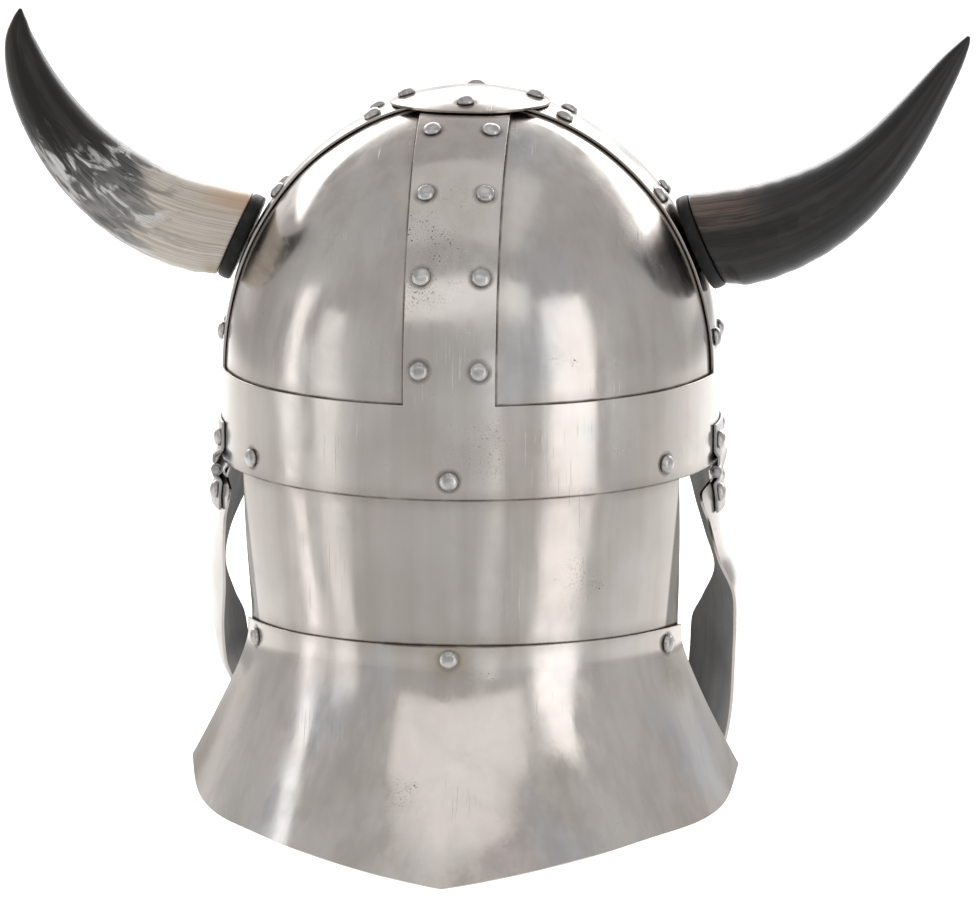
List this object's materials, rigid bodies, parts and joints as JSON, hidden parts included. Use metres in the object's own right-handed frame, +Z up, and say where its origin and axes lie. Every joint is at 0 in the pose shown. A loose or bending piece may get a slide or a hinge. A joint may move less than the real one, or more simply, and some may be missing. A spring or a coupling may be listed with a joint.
{
  "type": "horned spangenhelm",
  "caption": "Riveted iron helmet: domed skull of bands and panels, flared neck guard, hinged cheek guards and two curved horns.",
  "frame": {"origin": "centre of the head opening, in the plane of the brow band's lower rim", "axes": "+Z up, +Y towards the back of the head, +X towards the wearer's left"},
  "size_m": [0.4072, 0.2629, 0.3427],
  "materials": {
    "plate_steel": "polished by hand, with soft reflections and small dark pits",
    "rivet_steel": "polished domed heads",
    "hinge_steel": "dull steel, darker in the barrels",
    "plug_black": "satin black paint",
    "pale_horn": "polished natural horn, cream at the base and black at the tip",
    "dark_horn": "polished natural horn, dark brown to black"
  },
  "bodies": {
    "helmet": {"crown_plate": "plate_steel", "dome_panel_back_left": "plate_steel", "dome_panel_back_right": "plate_steel", "dome_panel_front_left": "plate_steel", "dome_panel_front_right": "plate_steel", "hinge_pin_left": "hinge_steel", "hinge_pin_right": "hinge_steel", "hinge_upper_leaf_left": "hinge_steel", "hinge_upper_leaf_right": "hinge_steel", "horn_collar_left": "plug_black", "horn_collar_right": "plug_black", "horn_left": "pale_horn", "horn_right": "dark_horn", "neck_flare": "plate_steel", "neck_plate": "plate_steel", "rivet_back_band_1": "rivet_steel", "rivet_back_band_2": "rivet_steel", "rivet_back_band_3": "rivet_steel", "rivet_back_band_4": "rivet_steel", "rivet_back_band_5": "rivet_steel", "rivet_back_band_6": "rivet_steel", "rivet_back_band_7": "rivet_steel", "rivet_back_band_8": "rivet_steel", "rivet_crown_1": "rivet_steel", "rivet_crown_2": "rivet_steel", "rivet_crown_3": "rivet_steel", "rivet_crown_4": "rivet_steel", "rivet_flare_1": "rivet_steel", "rivet_flare_2": "rivet_steel", "rivet_flare_3": "rivet_steel", "rivet_front_band_1": "rivet_steel", "rivet_front_band_2": "rivet_steel", "rivet_front_band_3": "rivet_steel", "rivet_front_band_4": "rivet_steel", "rivet_front_band_5": "rivet_steel", "rivet_front_band_6": "rivet_steel", "rivet_front_band_7": "rivet_steel", "rivet_front_band_8": "rivet_steel", "rivet_left_band_1": "rivet_steel", "rivet_left_band_2": "rivet_steel", "rivet_left_band_3": "rivet_steel", "rivet_left_band_4": "rivet_steel", "rivet_left_band_5": "rivet_steel", "rivet_left_band_6": "rivet_steel", "rivet_neck_1": "rivet_steel", "rivet_neck_2": "rivet_steel", "rivet_neck_3": "rivet_steel", "rivet_right_band_1": "rivet_steel", "rivet_right_band_2": "rivet_steel", "rivet_right_band_3": "rivet_steel", "rivet_right_band_4": "rivet_steel", "rivet_right_band_5": "rivet_steel", "rivet_right_band_6": "rivet_steel", "spangen_frame": "plate_steel"},
    "cheek_left": {"cheek_guard_left": "plate_steel", "hinge_lower_leaf_left": "hinge_steel"},
    "cheek_right": {"cheek_guard_right": "plate_steel", "hinge_lower_leaf_right": "hinge_steel"}
  },
  "joints": [
    {"name": "cheek_left_hinge", "type": "hinge", "parent": "helmet", "child": "cheek_left", "pos_m": [0.1052, 0.005, -0.0032], "axis": [0, -1, 0], "range_deg": [-12, 90]},
    {"name": "cheek_right_hinge", "type": "hinge", "parent": "helmet", "child": "cheek_right", "pos_m": [-0.1052, -0.006, -0.0032], "axis": [0, 1, 0], "range_deg": [-12, 90]}
  ]
}
